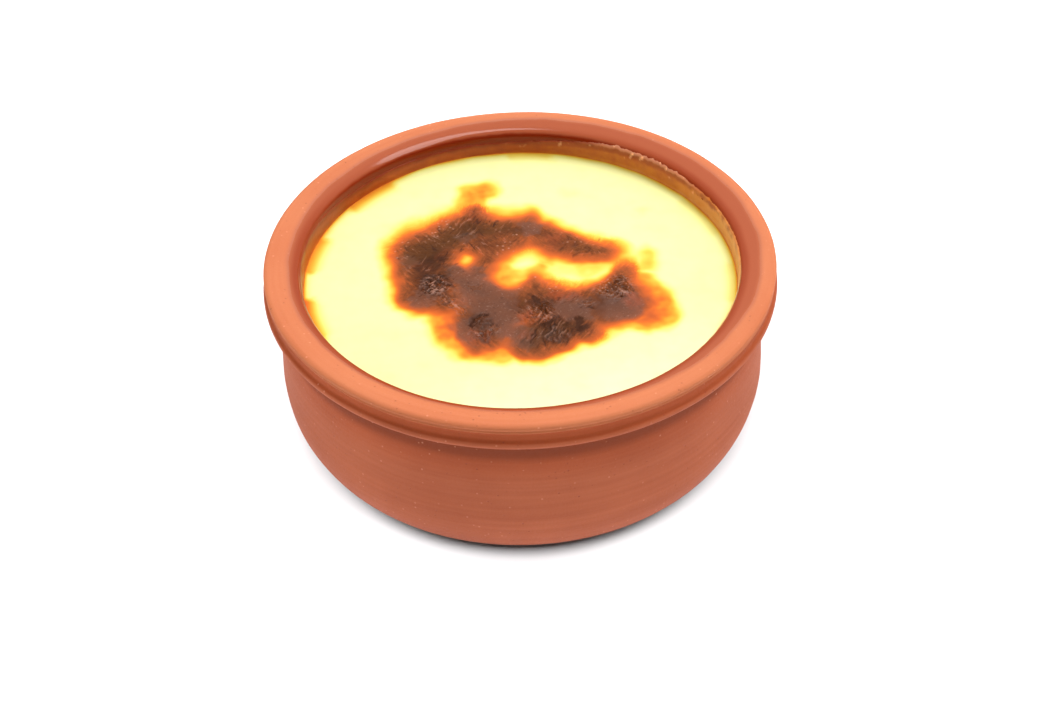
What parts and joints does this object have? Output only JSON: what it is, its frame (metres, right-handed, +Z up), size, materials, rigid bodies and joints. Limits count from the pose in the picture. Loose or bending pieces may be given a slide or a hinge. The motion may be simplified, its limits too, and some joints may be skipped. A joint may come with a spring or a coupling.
{
  "type": "baked rice pudding in a clay bowl",
  "caption": "Set rice pudding with a scorched skin, baked in a round terracotta bowl with a beaded collar, glazed inside.",
  "frame": {"origin": "centre of the flat underside of the bowl, on the surface it stands on", "axes": "+Z up along the bowl's turning axis; -Y towards the side that is seen from the front"},
  "size_m": [0.12, 0.12, 0.0463],
  "materials": {
    "terracotta": "unglazed clay outside, clear glaze inside",
    "baked_pudding": "soft sheen, scorched in the middle"
  },
  "bodies": {
    "root": {"bowl": "terracotta", "pudding": "baked_pudding"}
  },
  "joints": []
}
